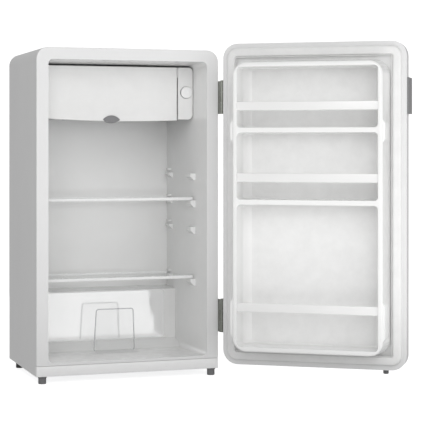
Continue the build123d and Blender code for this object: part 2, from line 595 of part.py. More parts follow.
def make_door():
    parts = {}
    inner = door_body(SHEET)
    shell = door_body(0) - inner
    shell -= prism(door_section(DOOR_FLANGE), DOOR_RIM_Y - SHEET - 0.5, DOOR_RIM_Y + 1)
    liner, solid_pod = make_door_liner()
    parts["door_liner"] = liner
    foam = inner - solid_pod

    gasket = ring(DOOR_FLANGE, DOOR_FLANGE + GASKET_W, DOOR_RIM_Y, DOOR_RIM_Y + 3.5)
    gasket += ring(DOOR_FLANGE + 1, DOOR_FLANGE + 15, DOOR_RIM_Y + 3.5, -0.5)
    gasket += ring(DOOR_FLANGE + 15, DOOR_FLANGE + GASKET_W - 3, DOOR_RIM_Y + 3.5, DOOR_RIM_Y + 7)
    parts["door_gasket"] = gasket

    half = POD_X - POD_WALL - 0.2
    for name, z in zip(("upper", "middle", "lower"), BAR_BOTTOMS):
        bar = block(DOOR_MID_X - half, DOOR_MID_X + half, POD_Y - 3 - BAR_T, POD_Y - 3, z, z + BAR_H)
        parts[f"door_bar_{name}"] = fillet(bar.edges().filter_by(Axis.X), 1.8)

    side_x = DOOR_X0 - HANDLE_T
    handle = block(side_x, DOOR_X0, -84, -17, HANDLE_Z0, HANDLE_Z1)
    handle += block(side_x, DOOR_X0 + 30, -84, -79, HANDLE_Z0, HANDLE_Z1)
    handle = fillet(handle.edges().filter_by(Axis.Z).group_by(Axis.X)[0].group_by(Axis.Y)[0], 6)
    handle = fillet(handle.edges().filter_by(Axis.Z).group_by(Axis.X)[-1], 2.2)
    screws = []
    for z in (HANDLE_Z0 + 20, HANDLE_Z1 - 20):
        head = rod_x(-36, z, DOOR_X0 + SHEET, DOOR_X0 + SHEET + 2.5, 4)
        screws.append(head + rod_x(-36, z, side_x + 1, DOOR_X0 + SHEET, 2))
    parts["handle_screws"] = group(screws)
    for screw in screws:
        handle -= screw
        shell -= screw
        foam -= screw
    parts["door_handle"] = handle

    peg = rod_z(PEG_X, -36, 20, DOOR_Z0, 7)
    parts["door_peg"] = fillet(peg.edges().sort_by(Axis.Z)[0], 2)
    return parts, shell, foam


def make_hinges():
    """Cabinet and door leaves, pins and screws of both hinges, with the door closed."""
    third = HINGE_H / 3
    gap = 0.3
    cabinet_leaves, door_leaves, pins, cabinet_screws, door_screws = [], [], [], [], []
    for z0 in HINGE_BOTTOMS:
        z1 = z0 + HINGE_H
        leaf = block(CAB_X, CAB_X + 2, 3, 33, z0, z1)
        for low, high in ((z0, z0 + third - gap), (z1 - third + gap, z1)):
            leaf += block(CAB_X, CAB_X + 2, HINGE_Y, 3, low, high)
            leaf += rod_z(HINGE_X, HINGE_Y, low, high, HINGE_R)
        leaf += block(CAB_X, CAB_X + 2, HINGE_Y + 5.2, 3, z0, z1)
        leaf -= rod_z(HINGE_X, HINGE_Y, z0 - 1, z1 + 1, HINGE_PIN_R)
        low, high = z0 + third + gap, z1 - third - gap
        door_leaf = block(DOOR_X1, DOOR_X1 + 2, DOOR_FACE_Y + 16, HINGE_Y - 6, z0, z1)
        door_leaf += block(DOOR_X1, DOOR_X1 + 2, HINGE_Y - 6, HINGE_Y, low, high)
        door_leaf += rod_z(HINGE_X, HINGE_Y, low, high, HINGE_R)
        door_leaf -= rod_z(HINGE_X, HINGE_Y, z0 - 1, z1 + 1, HINGE_PIN_R + RUNNING_GAP)
        pin = rod_z(HINGE_X, HINGE_Y, z0, z1, HINGE_PIN_R)
        pins.append(pin + rod_z(HINGE_X, HINGE_Y, z1, z1 + 2, HINGE_R - 0.6))
        for z in (z0 + 12, z1 - 12):
            screw = rod_x(22, z, CAB_X - 8, CAB_X + 2, 2) + rod_x(22, z, CAB_X + 2, CAB_X + 3.6, 3.8)
            cabinet_screws.append(screw)
            leaf -= screw
            screw = rod_x(-34, z, DOOR_X1 - 8, DOOR_X1 + 2, 2)
            screw += rod_x(-34, z, DOOR_X1 + 2, DOOR_X1 + 3.6, 3.8)
            door_screws.append(screw)
            door_leaf -= screw
        cabinet_leaves.append(leaf)
        door_leaves.append(door_leaf)
    return cabinet_leaves, door_leaves, pins, cabinet_screws, door_screws


def swing(shape):
    """Turn a closed door piece to the open position."""
    pin = Location((HINGE_X, HINGE_Y, 0))
    return pin * Rot(0, 0, DOOR_OPEN_ANGLE) * pin.inverse() * shape


# ---------------------------------------------------------------- the whole fridge
def build():
    parts = make_cabinet()
    parts.update(make_feet())
    parts.update(make_compressor())
    parts.update(make_condenser(parts["compressor_pot"]))
    parts.update(make_freezer())
    parts.update(make_thermostat())
    for name, z in (("upper_shelf", UPPER_SHELF_Z), ("lower_shelf", LOWER_SHELF_Z)):
        glass, front, rear = make_shelf(z)
        parts[f"{name}_glass"] = glass
        parts[f"{name}_front_trim"] = front
        parts[f"{name}_rear_trim"] = rear
    parts["step_panel"] = make_step_panel()
    parts["bottle_stand"] = make_bottle_stand()

    door, door_shell, door_foam = make_door()
    cabinet_leaves, door_leaves, pins, cabinet_screws, door_screws = make_hinges()
    parts["cabinet_hinge_leaves"] = group(cabinet_leaves)
    parts["hinge_pins"] = group(pins)
    parts["cabinet_hinge_screws"] = group(cabinet_screws)
    for screw in cabinet_screws:
        parts["cabinet_shell"] -= screw
        parts["cabinet_foam"] -= screw
    for screw in door_screws:
        door_shell -= screw
        door_foam -= screw
    door["door_shell"] = door_shell
    door["door_foam"] = door_foam
    door["door_hinge_leaves"] = group(door_leaves)
    door["door_hinge_screws"] = group(door_screws)
    for name, shape in door.items():
        parts[name] = swing(shape)
    return parts


def main():
    parts = {name: group([shape]) for name, shape in build().items()}
    whole = Compound(list(parts.values())).bounding_box()
    shift = Location((-(whole.min.X + whole.max.X) / 2, -(whole.min.Y + whole.max.Y) / 2, 0))
    os.makedirs("parts", exist_ok=True)
    for name, shape in parts.items():
        export_step(shape.moved(shift), f"parts/{name}.step")
    print("nodes", len(parts), "shift", shift.position, "size", whole.size)


if __name__ == "__main__":
    main()
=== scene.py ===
"""Looks of the mini fridge: finishes, soft mouldings, gasket, screw heads and a plain studio."""

import json
import math

import bpy
from bpy.props import FloatProperty, FloatVectorProperty, PointerProperty
from mathutils import Matrix, Vector


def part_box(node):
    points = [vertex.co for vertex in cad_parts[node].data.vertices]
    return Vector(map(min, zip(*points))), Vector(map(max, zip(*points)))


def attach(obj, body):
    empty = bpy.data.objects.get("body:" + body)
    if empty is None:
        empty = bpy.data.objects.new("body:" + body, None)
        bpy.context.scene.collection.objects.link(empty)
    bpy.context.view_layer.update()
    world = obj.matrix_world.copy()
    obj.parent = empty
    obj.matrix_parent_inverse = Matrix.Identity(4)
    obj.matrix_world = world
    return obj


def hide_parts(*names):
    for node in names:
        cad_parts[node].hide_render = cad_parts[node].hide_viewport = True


bl_info = {
    "name": "Mini Fridge",
    "version": (1, 0, 0),
    "blender": (4, 5, 0),
    "location": "View3D > Sidebar > Mini Fridge",
    "description": "Finishes and fine details for a free-standing mini fridge",
    "category": "Object",
}

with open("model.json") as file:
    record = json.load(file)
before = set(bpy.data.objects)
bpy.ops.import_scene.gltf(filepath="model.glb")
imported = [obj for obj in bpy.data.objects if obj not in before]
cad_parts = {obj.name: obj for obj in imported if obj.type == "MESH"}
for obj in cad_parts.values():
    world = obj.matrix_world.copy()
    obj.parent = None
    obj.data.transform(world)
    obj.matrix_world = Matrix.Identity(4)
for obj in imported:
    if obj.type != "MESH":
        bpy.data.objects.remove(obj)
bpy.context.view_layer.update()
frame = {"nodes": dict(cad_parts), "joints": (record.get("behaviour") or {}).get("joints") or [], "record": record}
nodes = frame["nodes"]
SLOT_OF = {part["node"]: part["material_slot"] for part in frame["record"]["subparts"]}
BODY_OF = {n: b for b, names in frame["record"]["behaviour"]["bodies"].items() for n in names}
JOINTS = {joint["name"]: joint for joint in frame["joints"]}
HINGE = Vector(JOINTS["door_hinge"]["pos_m"])
OPEN_ANGLE = -math.radians(JOINTS["door_hinge"]["range_deg"][0])
CABINET_LOW, CABINET_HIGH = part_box("cabinet_shell")
MM = 0.001
MATERIAL_OF = {}

# the door and its gasket, drawn closed, in millimetres
DOOR_WIDTH = 470
DOOR_SET_IN = 0.5
GASKET_MARGIN = 12
GASKET_CORNER = 26
# across in millimetres, rise as a share of the gasket's height
GASKET_PROFILE = (
    (0.5, 0.18), (0.9, 0.20), (1.6, 0.17), (2.5, 0.08), (13.0, 0.02), (1.6, -0.02), (0.8, -0.08),
    (0.6, -0.30), (0.5, -0.20), (0.6, 0.0), (0.5, 0.18), (0.8, 0.12), (1.1, 0.0),
)

# hinge screws: heights above the lowest leaf and places along the two leaves, in millimetres
SCREW_HEIGHTS = (12, 72, 571, 631)
CABINET_SCREW_Y = 22
DOOR_SCREW_Y = -34
LEAF_T = 2

# bottle stand, in millimetres
STAND_TOP_IN_LEFT = 7
STAND_TOP_IN_RIGHT = 4
STAND_CORNER = 7
BEAD_WIDTH = 2.8

# softboxes: name, place, size in metres, share of the key light's power
SOFTBOXES = (
    ("key_softbox", (-1.0, -3.4, 1.8), 2.4, 1.0),
    ("low_softbox", (1.2, -3.4, 0.6), 1.6, 0.26),
    ("left_softbox", (-3.4, -1.0, 0.8), 2.0, 0.25),
    ("right_softbox", (3.4, -1.6, 1.6), 1.8, 0.2),
    ("top_softbox", (0.0, 0.6, 3.4), 2.2, 0.2),
)
SOFTBOX_AIM = Vector((0, 0, 0.45))
BOUNCE_SHARE = 0.34
CAMERA_FROM_CABINET = Vector((-0.7539, -3.5209, 0.5666))
CAMERA_TURN = -19.025
CAMERA_LENS = 122.54
CAMERA_SHIFT = -0.1535


# ---------------------------------------------------------------- what a user can change
class FridgeColours(bpy.types.PropertyGroup):
    enamel: FloatVectorProperty(
        name="Enamel", description="Painted steel of the cabinet and the door",
        subtype="COLOR", min=0, max=1, default=(0.75, 0.75, 0.75))
    lining: FloatVectorProperty(
        name="Lining", description="Formed plastic inside the cabinet and the door",
        subtype="COLOR", min=0, max=1, default=(0.82, 0.82, 0.815))
    trim: FloatVectorProperty(
        name="Trim", description="Moulded shelf edges, rail and knob",
        subtype="COLOR", min=0, max=1, default=(0.86, 0.86, 0.86))
    vinyl: FloatVectorProperty(
        name="Gasket vinyl", description="Soft door gasket",
        subtype="COLOR", min=0, max=1, default=(0.82, 0.82, 0.815))
    grip: FloatVectorProperty(
        name="Grip", description="Finger grip of the freezer flap",
        subtype="COLOR", min=0, max=1, default=(0.20, 0.20, 0.205))


class FridgeSizes(bpy.types.PropertyGroup):
    gasket_height: FloatProperty(
        name="Gasket height", description="How far the gasket stands off the door",
        unit="LENGTH", min=0.004, max=0.012, default=0.0112)
    moulding_radius: FloatProperty(
        name="Moulding radius", description="Rounding of the formed plastic's edges",
        unit="LENGTH", min=0.0003, max=0.004, default=0.0022)
    trim_radius: FloatProperty(
        name="Trim radius", description="Rounding of small moulded pieces",
        unit="LENGTH", min=0.0002, max=0.002, default=0.0008)
    key_power: FloatProperty(
        name="Key light", description="Power of the large front softbox",
        unit="POWER", min=0, max=1000, default=47)
    ambient: FloatProperty(
        name="Ambient", description="Strength of the even studio light", min=0, max=3, default=0.42)


def colours():
    return bpy.context.scene.fridge_colours


def sizes():
    return bpy.context.scene.fridge_sizes


# ---------------------------------------------------------------- building materials
class Finish:
    """One node material, with the few node patterns that the finishes share."""

    def __init__(self, name, colour, roughness, metallic=0.0, coat=0.0):
        self.material = bpy.data.materials.new(name)
        self.material.use_nodes = True
        self.tree = self.material.node_tree
        self.shader = self.tree.nodes["Principled BSDF"]
        self.colour = tuple(colour)[:3]
        self.set("Base Color", (*self.colour, 1))
        self.set("Roughness", roughness)
        self.set("Metallic", metallic)
        self.set("Coat Weight", coat)
        self.place = self.add("ShaderNodeTexCoord").outputs["Object"]
        self.normal = None

    def add(self, kind, **settings):
        node = self.tree.nodes.new(kind)
        for key, value in settings.items():
            setattr(node, key, value)
        return node

    def set(self, socket, value):
        self.shader.inputs[socket].default_value = value
        return self

    def join(self, source, target):
        self.tree.links.new(source, target)

    def noise(self, size, detail=2.0, rough=0.5, stretch=None):
        """Noise whose features are about size metres across."""
        node = self.add("ShaderNodeTexNoise")
        node.inputs["Scale"].default_value = 1 / size
        node.inputs["Detail"].default_value = detail
        node.inputs["Roughness"].default_value = rough
        place = self.place
        if stretch:
            mapping = self.add("ShaderNodeMapping")
            mapping.inputs["Scale"].default_value = stretch
            self.join(place, mapping.inputs["Vector"])
            place = mapping.outputs["Vector"]
        self.join(place, node.inputs["Vector"])
        return node.outputs["Fac"]

    def spread(self, value, low, high, start=0.3, end=0.7):
        node = self.add("ShaderNodeMapRange")
        for key, number in (("From Min", start), ("From Max", end), ("To Min", low), ("To Max", high)):
            node.inputs[key].default_value = number
        self.join(value, node.inputs["Value"])
        return node.outputs["Result"]

    def vary_roughness(self, size, low, high):
        self.join(self.spread(self.noise(size, 3), low, high), self.shader.inputs["Roughness"])
        return self

    def vary_colour(self, size, other, amount=1.0, value=None):
        """Patches of another colour, over what colours the surface so far."""
        mix = self.add("ShaderNodeMix", data_type="RGBA")
        links = self.shader.inputs["Base Color"].links
        if links:
            self.join(links[0].from_socket, mix.inputs["A"])
        else:
            mix.inputs["A"].default_value = (*self.colour, 1)
        mix.inputs["B"].default_value = (*other, 1)
        source = value if value is not None else self.noise(size, 4, 0.6)
        self.join(self.spread(source, 0, amount), mix.inputs["Factor"])
        self.join(mix.outputs["Result"], self.shader.inputs["Base Color"])
        return self

    def relief(self, height, depth, strength=1.0):
        """Height pattern of depth metres, on top of the relief so far."""
        node = self.add("ShaderNodeBump")
        node.inputs["Strength"].default_value = strength
        node.inputs["Distance"].default_value = depth
        self.join(height, node.inputs["Height"])
        if self.normal:
            self.join(self.normal, node.inputs["Normal"])
        self.normal = node.outputs["Normal"]
        self.join(self.normal, self.shader.inputs["Normal"])
        return self

    def soft_edges(self, radius):
        node = self.add("ShaderNodeBevel", samples=4)
        node.inputs["Radius"].default_value = radius
        self.normal = node.outputs["Normal"]
        self.join(self.normal, self.shader.inputs["Normal"])
        return self

    def edge_mask(self, radius):
        """One on sharp edges and zero on flats."""
        bevel = self.add("ShaderNodeBevel", samples=4)
        bevel.inputs["Radius"].default_value = radius
        geometry = self.add("ShaderNodeNewGeometry")
        dot = self.add("ShaderNodeVectorMath", operation="DOT_PRODUCT")
        self.join(bevel.outputs["Normal"], dot.inputs[0])
        self.join(geometry.outputs["True Normal"], dot.inputs[1])
        return self.spread(dot.outputs["Value"], 1, 0, 0.80, 0.99)

    def worn_edges(self, radius, bare):
        """Edges rubbed through to a brighter colour, in patches."""
        both = self.add("ShaderNodeMath", operation="MULTIPLY")
        self.join(self.edge_mask(radius), both.inputs[0])
        self.join(self.spread(self.noise(0.006, 4), 0, 1, 0.42, 0.62), both.inputs[1])
        return self.vary_colour(0, bare, 0.8, self.spread(both.outputs[0], 0, 1, 0, 1))

    def dust(self, amount, colour=(0.34, 0.32, 0.29)):
        """Dust that lies on upward faces."""
        geometry = self.add("ShaderNodeNewGeometry")
        split = self.add("ShaderNodeSeparateXYZ")
        self.join(geometry.outputs["Normal"], split.inputs[0])
        up = self.spread(split.outputs["Z"], 0, 1, 0.2, 1.0)
        both = self.add("ShaderNodeMath", operation="MULTIPLY")
        self.join(up, both.inputs[0])
        self.join(self.spread(self.noise(0.012, 5, 0.65), 0.2, 1), both.inputs[1])
        return self.vary_colour(0, colour, amount, self.spread(both.outputs[0], 0, 1, 0, 1))


def shade(colour, factor):
    return tuple(min(1, c * factor) for c in tuple(colour)[:3])


def enamel():
    """Sprayed and stoved paint: satin, with the slow waves of thin sheet."""
    f = Finish("white_enamel", colours().enamel, 0.34)
    f.set("Specular IOR Level", 0.32)
    f.relief(f.noise(0.16, 1), 0.0003, 0.2)
    f.vary_colour(0.25, shade(f.colour, 0.975)).vary_roughness(0.08, 0.31, 0.37)
    return f


def lining(name="formed_white_lining", painted_light_scale=1.0):
    """Vacuum formed sheet: glossy, with the slow waves of a formed surface."""
    # a scale above one makes a lighter copy of the lining as painted light, below one a darker copy as painted
    # shade
    f = Finish(name, shade(colours().lining, painted_light_scale), 0.22)
    f.set("Subsurface Weight", 0.04).set("Subsurface Radius", (0.004, 0.004, 0.004))
    f.relief(f.noise(0.05, 1), 0.0005, 0.2).relief(f.noise(0.0012, 2), 0.00002, 0.3)
    f.vary_colour(0.12, shade(f.colour, 0.97)).vary_roughness(0.02, 0.18, 0.27)
    return f


def moulded(name, colour, roughness, grain=0.3, edge=0.0006):
    """Injection moulded plastic with a fine spark-eroded grain."""
    f = Finish(name, colour, roughness)
    f.soft_edges(edge).relief(f.noise(0.0007, 2), 0.00004, grain)
    f.relief(f.noise(0.03, 1), 0.0003, 0.15)
    f.vary_colour(0.04, shade(f.colour, 0.96)).vary_roughness(0.008, roughness * 0.85, roughness * 1.2)
    return f


def vinyl():
    f = Finish("gasket_vinyl", colours().vinyl, 0.48)
    f.set("Sheen Weight", 0.15)
    f.relief(f.noise(0.0006, 3), 0.00005, 0.4).relief(f.noise(0.012, 2), 0.0003, 0.3)
    f.vary_colour(0.03, shade(f.colour, 0.94)).vary_roughness(0.01, 0.42, 0.55)
    return f


def rubber():
    f = Finish("black_rubber", (0.022, 0.022, 0.022), 0.75)
    f.soft_edges(0.0008).relief(f.noise(0.0008, 3), 0.0001, 0.4)
    f.vary_colour(0.01, (0.05, 0.048, 0.045)).dust(0.35)
    return f


def foam():
    f = Finish("rigid_foam", (0.66, 0.56, 0.34), 0.9)
    cells = f.add("ShaderNodeTexVoronoi")
    cells.inputs["Scale"].default_value = 900
    f.join(f.place, cells.inputs["Vector"])
    f.relief(cells.outputs["Distance"], 0.0004, 0.8)
    f.vary_colour(0.01, (0.52, 0.42, 0.22))
    return f


def galvanised():
    """Hot dipped sheet with its crystal flakes."""
    f = Finish("galvanised_sheet", (0.50, 0.51, 0.52), 0.38, metallic=0.9)
    flakes = f.add("ShaderNodeTexVoronoi")
    flakes.inputs["Scale"].default_value = 90
    f.join(f.place, flakes.inputs["Vector"])
    grey = f.add("ShaderNodeSeparateColor")
    f.join(flakes.outputs["Color"], grey.inputs[0])
    f.join(f.spread(grey.outputs[0], 0.30, 0.52, 0, 1), f.shader.inputs["Roughness"])
    f.vary_colour(0, (0.36, 0.37, 0.39), 0.7, grey.outputs[1])
    f.soft_edges(0.0005).relief(f.noise(0.05, 2), 0.0005, 0.3)
    f.dust(0.3)
    return f


def back_paint():
    f = Finish("grey_back_paint", (0.34, 0.35, 0.36), 0.45, metallic=0.2)
    f.soft_edges(0.0006).relief(f.noise(0.09, 2), 0.0009, 0.35)
    f.relief(f.noise(0.002, 2), 0.00004, 0.3)
    f.vary_colour(0.09, (0.29, 0.30, 0.31)).vary_roughness(0.02, 0.4, 0.55)
    return f


def black_coating(name, roughness):
    """Dipped black lacquer, slightly uneven, with dust on what faces up."""
    f = Finish(name, (0.016, 0.016, 0.017), roughness, coat=0.2)
    f.soft_edges(0.0008).relief(f.noise(0.004, 3), 0.00012, 0.5)
    f.vary_colour(0.02, (0.03, 0.03, 0.032)).vary_roughness(0.006, roughness * 0.8, roughness * 1.35)
    f.dust(0.45)
    return f


def plated(name, colour, roughness, brushed=None, bare=(0.75, 0.74, 0.70)):
    """Plated metal with drawing marks and rubbed edges."""
    f = Finish(name, colour, roughness, metallic=1.0)
    f.soft_edges(0.0005).relief(f.noise(0.0006, 3, stretch=brushed), 0.00003, 0.5)
    f.vary_colour(0.008, shade(colour, 0.72), 0.8).vary_roughness(0.004, roughness * 0.75, roughness * 1.3)
    f.worn_edges(0.0008, bare)
    return f


def copper():
    f = Finish("drawn_copper", (0.72, 0.36, 0.22), 0.3, metallic=1.0)
    f.relief(f.noise(0.001, 3), 0.00004, 0.4)
    f.vary_colour(0.012, (0.30, 0.15, 0.09), 0.8).vary_roughness(0.006, 0.22, 0.5)
    return f


def clear(name, tint, alpha, roughness, ior):
    """Clear pane or moulding, with faint handling smears."""
    f = Finish(name, tint, roughness)
    f.set("Alpha", alpha).set("IOR", ior)
    f.relief(f.noise(0.04, 1), 0.0002, 0.15)
    f.vary_colour(0.05, shade(tint, 0.96)).vary_roughness(0.02, roughness * 0.6, roughness * 1.8)
    return f


def bead_painted_shade_finish():
    """The stand's beaded edge, which gathers the light and reads darker than the sheet: its grey colour is painted
    shade on clear plastic.
    """
    f = Finish("clear_bead_painted_shade", (0.52, 0.53, 0.54), 0.12)
    f.set("Alpha", 0.5).set("IOR", 1.49)
    f.relief(f.noise(0.01, 1), 0.0002, 0.2)
    f.vary_colour(0.02, (0.60, 0.61, 0.62)).vary_roughness(0.01, 0.08, 0.2)
    return f


def glossy_step_painted_light():
    """White sheet under a clear polished layer that mirrors the room: the mirror reflection is rendered, while its
    white, brighter than the lining, is painted light for the light falling into the low compartment.
    """
    f = Finish("glossy_white_step_painted_light", (0.94, 0.94, 0.94), 0.06, metallic=0.42)
    f.relief(f.noise(0.06, 1), 0.0003, 0.12)
    f.vary_colour(0.08, (0.90, 0.905, 0.905)).vary_roughness(0.03, 0.04, 0.09)
    return f


def frosty_aluminium():
    f = Finish("rolled_aluminium", (0.62, 0.63, 0.64), 0.36, metallic=1.0)
    f.soft_edges(0.001).relief(f.noise(0.001, 3, stretch=(1, 12, 12)), 0.00005, 0.5)
    f.vary_colour(0.02, (0.52, 0.53, 0.55)).vary_roughness(0.01, 0.3, 0.5)
    return f


def finish_table():
    """Every material slot of the record with the finish that shows it."""
    c = colours()
    return {
        "painted_shell": enamel(),
        "front_trim_white": moulded("white_rail", c.trim, 0.32),
        "liner_white": lining(),
        # the flap takes the lining colour 5% darker: painted shade for the shade it sits in under the freezer box
        "flap_white": moulded("flap_painted_shade", shade(c.lining, 0.95), 0.20, 0.12, 0.0012),
        "grip_grey": moulded("grey_grip", c.grip, 0.42, 0.5),
        "gasket_white": vinyl(),
        "foam": foam(),
        "shelf_glass": clear("shelf_glass", (0.84, 0.92, 0.90), 0.07, 0.03, 1.52),
        "clear_plastic": clear("clear_plastic", (0.80, 0.81, 0.81), 0.05, 0.05, 1.49),
        "panel_gloss": glossy_step_painted_light(),
        "trim_white": moulded("bright_white_trim", c.trim, 0.24, 0.15),
        "galvanised": galvanised(),
        "back_grey": back_paint(),
        "hinge_steel": plated("dark_plated_hinge", (0.30, 0.31, 0.28), 0.34, (1, 1, 9)),
        "foot_grey": moulded("grey_nylon_foot", (0.16, 0.16, 0.165), 0.5, 0.6),
        "foot_black": rubber(),
        "compressor_black": black_coating("black_compressor_paint", 0.34),
        "condenser_black": black_coating("black_condenser_dip", 0.42),
        "copper": copper(),
        "aluminium": frosty_aluminium(),
        "handle_metal": moulded("grey_metallic_handle", (0.22, 0.22, 0.225), 0.34, 0.4),
        "screw_steel": plated("zinc_screw", (0.55, 0.55, 0.56), 0.3),
        "dark_plastic": moulded("black_moulding", (0.025, 0.025, 0.026), 0.45, 0.6),
    }


# ---------------------------------------------------------------- modelling helpers
def alone(obj):
    """Only obj is selected and active, in object mode."""
    bpy.ops.object.select_all(action="DESELECT")
    obj.select_set(True)
    bpy.context.view_layer.objects.active = obj


def new_piece(add, name, **settings):
    """A primitive by the operator add, with nothing else selected."""
    bpy.ops.object.select_all(action="DESELECT")
    add(**settings)
    bpy.context.object.name = name
    return bpy.context.object


def place_in_mesh(obj):
    alone(obj)
    bpy.ops.object.transform_apply(location=True, rotation=True, scale=True)


def adopt(obj, body, slot, *replaced):
    """Give a finished piece its finish, its body and the nodes it stands for."""
    obj.data.materials.clear()
    obj.data.materials.append(bpy.data.materials[MATERIAL_OF[slot]])
    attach(obj, body)
    if replaced:
        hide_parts(*replaced)
    return obj


def apply_modifiers(obj):
    alone(obj)
    for modifier in list(obj.modifiers):
        bpy.ops.object.modifier_apply(modifier=modifier.name)


def open_with_door(obj):
    """Turn a piece drawn on the closed door to where the open door is."""
    turn = Matrix.Translation(HINGE) @ Matrix.Rotation(OPEN_ANGLE, 4, "Z") @ Matrix.Translation(-HINGE)
    obj.data.transform(turn)


def bevel_by_angle(obj, width):
    """Round every edge sharper than a formed surface's own bends."""
    bevel = obj.modifiers.new("Rounding", "BEVEL")
    bevel.width = width
    bevel.segments = 3
    bevel.limit_method = "ANGLE"
    bevel.angle_limit = math.radians(38)
    apply_modifiers(obj)
    bpy.ops.object.shade_smooth_by_angle(angle=math.radians(35))


def rounded_copy(node, name, radius):
    """The node's shape with its sharp edges rounded, as its own piece."""
    obj = bpy.data.objects.new(name, nodes[node].data.copy())
    bpy.context.scene.collection.objects.link(obj)
    alone(obj)
    bpy.ops.mesh.customdata_custom_splitnormals_clear()
    bpy.ops.object.mode_set(mode="EDIT")
    bpy.ops.mesh.select_all(action="SELECT")
    bpy.ops.mesh.remove_doubles(threshold=0.00001)
    bpy.ops.mesh.dissolve_limited(angle_limit=math.radians(1.5))
    bpy.ops.object.mode_set(mode="OBJECT")
    bevel_by_angle(obj, radius)
    return adopt(obj, BODY_OF[node], SLOT_OF[node], node)


def stand_outline(name, front):
    """Flat outline of the bottle stand, facing the front: narrower at its rounded top."""
    low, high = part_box("bottle_stand")
    obj = new_piece(bpy.ops.mesh.primitive_plane_add, name, size=1)
    obj.scale = (high.x - low.x, high.z - low.z, 1)
    place_in_mesh(obj)
    for vertex in obj.data.vertices:
        vertex.select = vertex.co.y > 0
        if vertex.select:
            vertex.co.x += STAND_TOP_IN_LEFT * MM if vertex.co.x < 0 else -STAND_TOP_IN_RIGHT * MM
    bpy.ops.object.mode_set(mode="EDIT")
    bpy.ops.mesh.select_mode(type="VERT")
    bpy.ops.mesh.bevel(offset=STAND_CORNER * MM, segments=5, affect="VERTICES")
    bpy.ops.object.mode_set(mode="OBJECT")
    obj.rotation_euler = (math.radians(90), 0, 0)
    obj.location = ((low.x + high.x) / 2, front, (low.z + high.z) / 2)
    place_in_mesh(obj)
    return obj


def finish_sheet(obj, thickness, radius):
    """Give a flat outline its thickness, towards the back, and round its edges."""
    solid = obj.modifiers.new("Thickness", "SOLIDIFY")
    solid.thickness = thickness
    solid.offset = -1
    apply_modifiers(obj)
    bevel_by_angle(obj, radius)


def front_reflector(finish):
    """White card in front of the fridge that only polished surfaces see."""
    card = new_piece(
        bpy.ops.mesh.primitive_plane_add, "studio_card", size=1.9,
        location=(0.9, -2.9, 0.35), rotation=(math.radians(90), 0, math.radians(19)))
    card.data.materials.append(finish)
    card.visible_camera = card.visible_diffuse = card.visible_shadow = card.visible_transmission = False
    return card


def cross_head():
    """Pattern of a low domed screw head facing +x, with a cross recess."""
    head = new_piece(
        bpy.ops.mesh.primitive_cylinder_add, "screw_head_pattern",
        vertices=32, radius=3.95 * MM, depth=1.2 * MM, location=(0, 0, 0.6 * MM))
    place_in_mesh(head)
    for face in head.data.polygons:
        face.select = face.normal.z > 0.9
    bpy.ops.object.mode_set(mode="EDIT")
    bpy.ops.mesh.select_mode(type="FACE")
    bpy.ops.mesh.inset(thickness=0.9 * MM, depth=0.4 * MM)
    bpy.ops.mesh.inset(thickness=0.9 * MM, depth=0.18 * MM)
    bpy.ops.object.mode_set(mode="OBJECT")
    for size in ((4.4, 0.95, 2.0), (0.95, 4.4, 2.0)):
        cutter = new_piece(
            bpy.ops.mesh.primitive_cube_add, "recess_cutter", size=1, location=(0, 0, 1.85 * MM))
        cutter.scale = [side * MM for side in size]
        place_in_mesh(cutter)
        cut = head.modifiers.new("Recess", "BOOLEAN")
        cut.operation = "DIFFERENCE"
        cut.object = cutter
        apply_modifiers(head)
        bpy.data.objects.remove(cutter)
    bpy.ops.object.shade_smooth_by_angle(angle=math.radians(30))
    head.data.transform(Matrix.Rotation(math.radians(90), 4, "Y"))
    return head


def close_underside(obj):
    """Close a ring's underside between its two open rims, and point its faces outwards."""
    alone(obj)
    bpy.ops.object.mode_set(mode="EDIT")
    bpy.ops.mesh.select_mode(type="EDGE")
    bpy.ops.mesh.select_all(action="DESELECT")
    bpy.ops.mesh.select_non_manifold(extend=False)
    bpy.ops.mesh.bridge_edge_loops()
    bpy.ops.mesh.select_all(action="SELECT")
    bpy.ops.mesh.normals_make_consistent(inside=False)
    bpy.ops.mesh.select_mode(type="VERT")
    bpy.ops.object.mode_set(mode="OBJECT")


# ---------------------------------------------------------------- operators
class FRIDGE_OT_finishes(bpy.types.Operator):
    """Give every part of the fridge its finish"""

    bl_idname = "fridge.finishes"
    bl_label = "Finishes"

    def execute(self, context):
        for slot, finish in finish_table().items():
            MATERIAL_OF[slot] = finish.material.name
        for name, obj in nodes.items():
            obj.data.materials.clear()
            obj.data.materials.append(bpy.data.materials[MATERIAL_OF[SLOT_OF[name]]])
        return {"FINISHED"}


class FRIDGE_OT_soft_mouldings(bpy.types.Operator):
    """Round the edges of the formed and moulded plastic pieces"""

    bl_idname = "fridge.soft_mouldings"
    bl_label = "Soft mouldings"

    def execute(self, context):
        s = sizes()
        # the door's lining is the lining colour made 3% lighter: painted light for the light the open door catches
        # from the front
        door_painted_light_material = lining("door_lining_painted_light", 1.03).material
        # the door rails are the lining colour made 2% darker: painted shade, so they read less bright than the
        # door lining
        rail_painted_shade_material = lining("door_rail_white", 0.98).material
        formed = rounded_copy("door_liner", "door_lining", s.moulding_radius)
        formed.data.materials[0] = door_painted_light_material
        for level in ("upper", "middle", "lower"):
            rail = rounded_copy(f"door_bar_{level}", f"door_rail_{level}", s.trim_radius)
            rail.data.materials[0] = rail_painted_shade_material
        for level in ("upper", "lower"):
            rounded_copy(f"{level}_shelf_front_trim", f"{level}_shelf_front_edge", s.trim_radius)
            rounded_copy(f"{level}_shelf_rear_trim", f"{level}_shelf_rear_edge", s.trim_radius)
        rounded_copy("bottom_front_rail", "bottom_rail", s.trim_radius)
        return {"FINISHED"}


